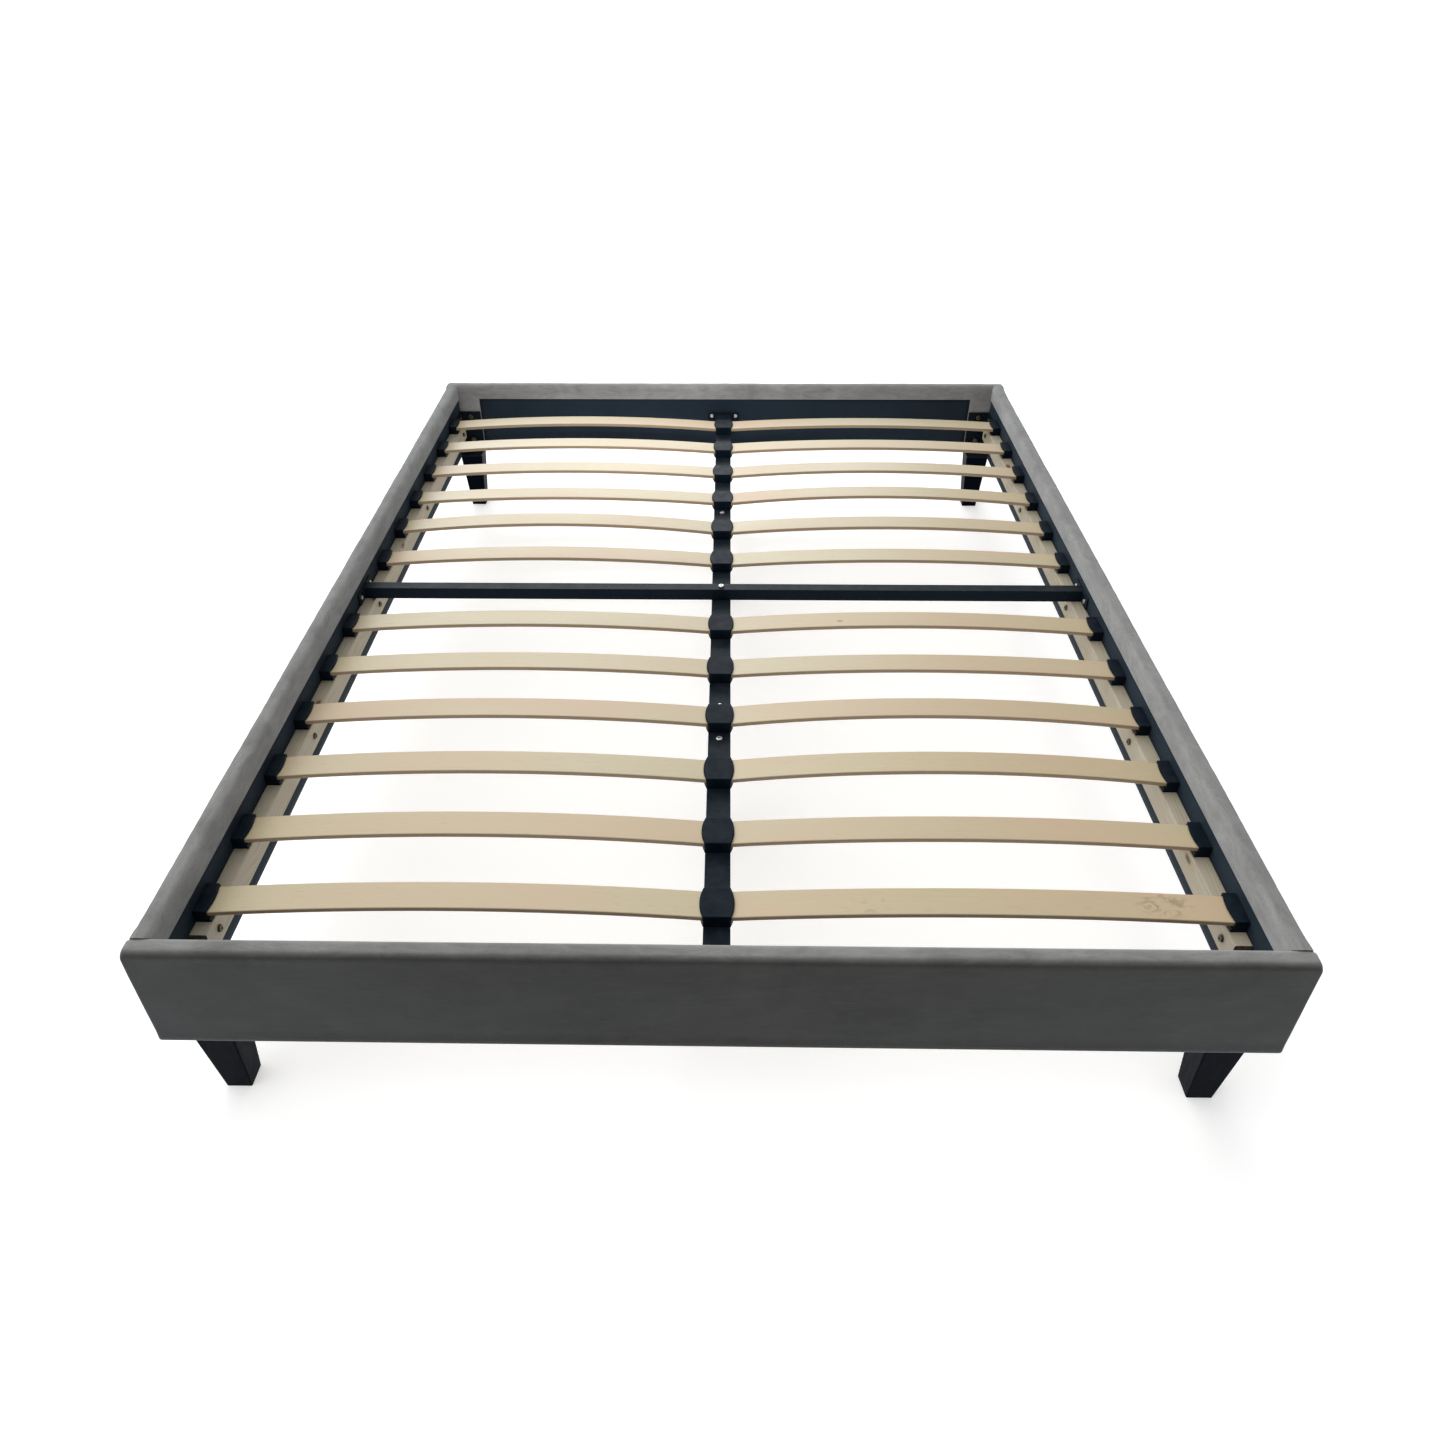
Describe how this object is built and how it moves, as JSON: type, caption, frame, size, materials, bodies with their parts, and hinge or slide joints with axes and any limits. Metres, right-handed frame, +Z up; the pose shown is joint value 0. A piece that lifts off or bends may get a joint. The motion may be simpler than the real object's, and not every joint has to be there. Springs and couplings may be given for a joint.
{
  "type": "bed frame",
  "caption": "Low upholstered platform bed frame with padded rails on tapered legs, arched sprung slats in plastic caps, a steel centre beam and a cross bar.",
  "frame": {"origin": "on the floor, under the middle of the bed frame", "axes": "+Y towards the head, +Z up, +X to the right of a person who stands at the foot and faces the head"},
  "size_m": [1.6, 2.125, 0.35],
  "materials": {
    "board": "bare particle board, hidden by the cover",
    "rail_fabric": "grey suede-look polyester over thin foam",
    "lining": "dark non-woven lining, matt",
    "pine": "planed pine, unvarnished",
    "slat_ply": "bent birch ply, pale and satin",
    "black_steel": "black powder coat, satin",
    "cap_plastic": "black moulded plastic, satin",
    "leg_black": "black moulded leg, satin",
    "foot_black": "black coated levelling foot",
    "zinc": "zinc plated steel"
  },
  "bodies": {
    "frame": {"foot_rail_board": "board", "foot_rail_cover": "rail_fabric", "foot_rail_lining": "lining", "head_rail_board": "board", "head_rail_cover": "rail_fabric", "head_rail_lining": "lining", "left_rail_board": "board", "left_rail_cover": "rail_fabric", "left_rail_lining": "lining", "right_rail_board": "board", "right_rail_cover": "rail_fabric", "right_rail_lining": "lining", "left_ledge": "pine", "right_ledge": "pine", "centre_beam": "black_steel", "beam_hanger_head": "black_steel", "beam_hanger_foot": "black_steel", "cross_bar": "black_steel", "corner_bracket_head_left": "black_steel", "corner_bracket_head_right": "black_steel", "corner_bracket_foot_left": "black_steel", "corner_bracket_foot_right": "black_steel", "leg_head_left": "leg_black", "leg_head_right": "leg_black", "leg_foot_left": "leg_black", "leg_foot_right": "leg_black", "slat_left_01": "slat_ply", "slat_left_02": "slat_ply", "slat_left_03": "slat_ply", "slat_left_04": "slat_ply", "slat_left_05": "slat_ply", "slat_left_06": "slat_ply", "slat_left_07": "slat_ply", "slat_left_08": "slat_ply", "slat_left_09": "slat_ply", "slat_left_10": "slat_ply", "slat_left_11": "slat_ply", "slat_left_12": "slat_ply", "slat_right_01": "slat_ply", "slat_right_02": "slat_ply", "slat_right_03": "slat_ply", "slat_right_04": "slat_ply", "slat_right_05": "slat_ply", "slat_right_06": "slat_ply", "slat_right_07": "slat_ply", "slat_right_08": "slat_ply", "slat_right_09": "slat_ply", "slat_right_10": "slat_ply", "slat_right_11": "slat_ply", "slat_right_12": "slat_ply", "slat_caps_left": "cap_plastic", "slat_caps_right": "cap_plastic", "slat_caps_centre": "cap_plastic", "support_leg_front": "black_steel", "support_leg_rear": "black_steel", "corner_bolts": "zinc", "ledge_bolts": "zinc", "beam_bolts": "zinc"},
    "front_foot": {"levelling_foot_front": "foot_black"},
    "rear_foot": {"levelling_foot_rear": "foot_black"}
  },
  "joints": [
    {"name": "front_foot_height", "type": "slide", "parent": "frame", "child": "front_foot", "axis": [0, 0, 1], "range_m": [-0.012, 0.006]},
    {"name": "rear_foot_height", "type": "slide", "parent": "frame", "child": "rear_foot", "axis": [0, 0, 1], "range_m": [-0.012, 0.006]}
  ]
}
